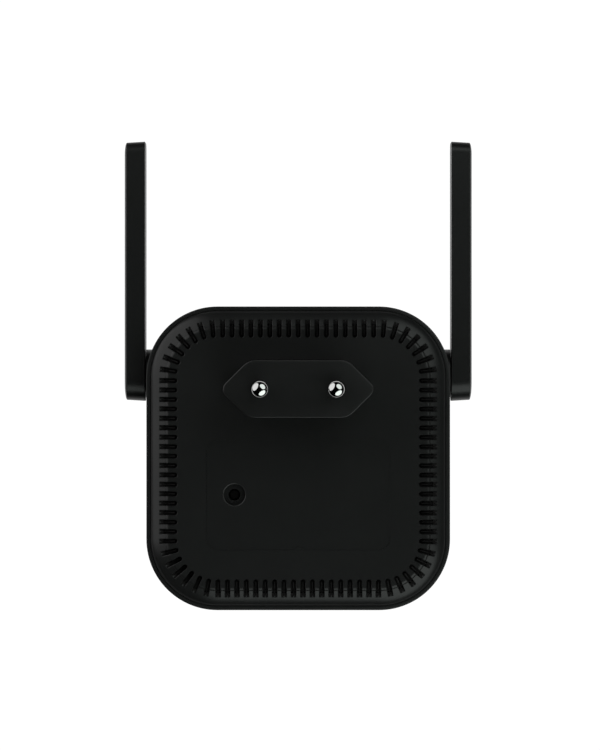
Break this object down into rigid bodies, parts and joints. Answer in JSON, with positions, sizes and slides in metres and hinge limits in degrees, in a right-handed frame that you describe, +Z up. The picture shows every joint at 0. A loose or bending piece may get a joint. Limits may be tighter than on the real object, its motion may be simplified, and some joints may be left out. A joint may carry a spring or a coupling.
{
  "type": "wifi range extender",
  "caption": "Black plug-in Wi-Fi range extender: a rounded-square vented case with a two-pin mains plug, a recessed reset button and a folding flat antenna on each side.",
  "frame": {"origin": "centre of the mains plug's flat hexagonal face, midway between the two pins", "axes": "+Y is the way the pins point, into the wall socket, so the product's front faces -Y; +Z is up, the way the antennas stand at rest; +X is to the right seen from the front"},
  "size_m": [0.0852, 0.068, 0.1146],
  "materials": {
    "case_black": "fine satin moulded plastic",
    "cover_black": "fine satin moulded plastic",
    "baffle_black": "plain moulded plastic",
    "plug_black": "fine satin moulded plastic",
    "label_black": "smooth printed film, left blank",
    "antenna_black": "fine satin moulded plastic",
    "sleeve_black": "smooth moulded plastic",
    "pin_nickel": "polished nickel plate",
    "contact_brass": "bright sheet brass",
    "spring_steel": "spring steel",
    "screw_steel": "zinc-plated steel",
    "tin_plate": "tin-plated steel",
    "spreader_aluminium": "as extruded",
    "board_green": "glass-epoxy laminate under solder mask",
    "chip_black": "moulded epoxy",
    "ceramic_white": "unglazed ceramic tube",
    "ceramic_blue": "dipped ceramic disc",
    "film_box_yellow": "moulded box",
    "capacitor_sleeve": "heat-shrunk sleeve on an aluminium can",
    "ferrite": "sintered ferrite",
    "winding_tape": "polyester tape over copper",
    "pad_silicone": "soft silicone",
    "insulation_paper": "vulcanised fibre sheet",
    "lens_clear": "clear moulded plastic",
    "stem_plastic": "black acetal",
    "cable_jacket": "thin coaxial jacket"
  },
  "bodies": {
    "root": {"front_cover": "case_black", "rear_cover": "cover_black", "vent_baffle": "baffle_black", "plug_housing": "plug_black", "rating_label": "label_black", "power_board": "board_green", "main_board": "board_green", "main_board_screw_1": "screw_steel", "main_board_screw_2": "screw_steel", "main_board_screw_3": "screw_steel", "main_board_screw_4": "screw_steel", "power_board_screw_1": "screw_steel", "power_board_screw_2": "screw_steel", "fuse": "ceramic_white", "bridge_rectifier": "chip_black", "suppression_capacitor": "film_box_yellow", "bulk_capacitor_1": "capacitor_sleeve", "bulk_capacitor_2": "capacitor_sleeve", "output_capacitor": "capacitor_sleeve", "safety_capacitor": "ceramic_blue", "transformer_core": "ferrite", "transformer_winding": "winding_tape", "board_header": "chip_black", "radio_shield_can": "tin_plate", "radio_chip": "chip_black", "thermal_pad": "pad_silicone", "heat_spreader": "spreader_aluminium", "flash_chip": "chip_black", "status_light": "lens_clear", "light_pipe": "lens_clear", "insulation_sheet": "insulation_paper", "reset_switch_body": "chip_black", "mains_pin_right": "pin_nickel", "mains_pin_left": "pin_nickel", "pin_sleeve_right": "sleeve_black", "pin_sleeve_left": "sleeve_black", "pin_contact_right": "contact_brass", "pin_contact_left": "contact_brass", "spring_washer_right": "spring_steel", "spring_washer_left": "spring_steel", "coax_cable_right": "cable_jacket", "coax_cable_left": "cable_jacket", "antenna_connector_right": "contact_brass", "antenna_connector_left": "contact_brass"},
    "reset_button": {"reset_stem": "stem_plastic"},
    "antenna_right": {"antenna_shell_right": "antenna_black", "antenna_lid_right": "antenna_black", "antenna_board_right": "board_green", "antenna_feed_right": "cable_jacket", "retaining_clip_right": "spring_steel"},
    "antenna_left": {"antenna_shell_left": "antenna_black", "antenna_lid_left": "antenna_black", "antenna_board_left": "board_green", "antenna_feed_left": "cable_jacket", "retaining_clip_left": "spring_steel"}
  },
  "joints": [
    {"name": "antenna_right_hinge", "type": "hinge", "parent": "root", "child": "antenna_right", "pos_m": [0.035, -0.035, 0.00375], "axis": [1, 0, 0], "range_deg": [0, 180]},
    {"name": "antenna_left_hinge", "type": "hinge", "parent": "root", "child": "antenna_left", "pos_m": [-0.035, -0.035, 0.00375], "axis": [1, 0, 0], "range_deg": [0, 180]},
    {"name": "reset_press", "type": "slide", "parent": "root", "child": "reset_button", "axis": [0, -1, 0], "range_m": [0, 0.0003], "stiffness_N_per_m": 2000, "springref_m": -0.0002}
  ]
}
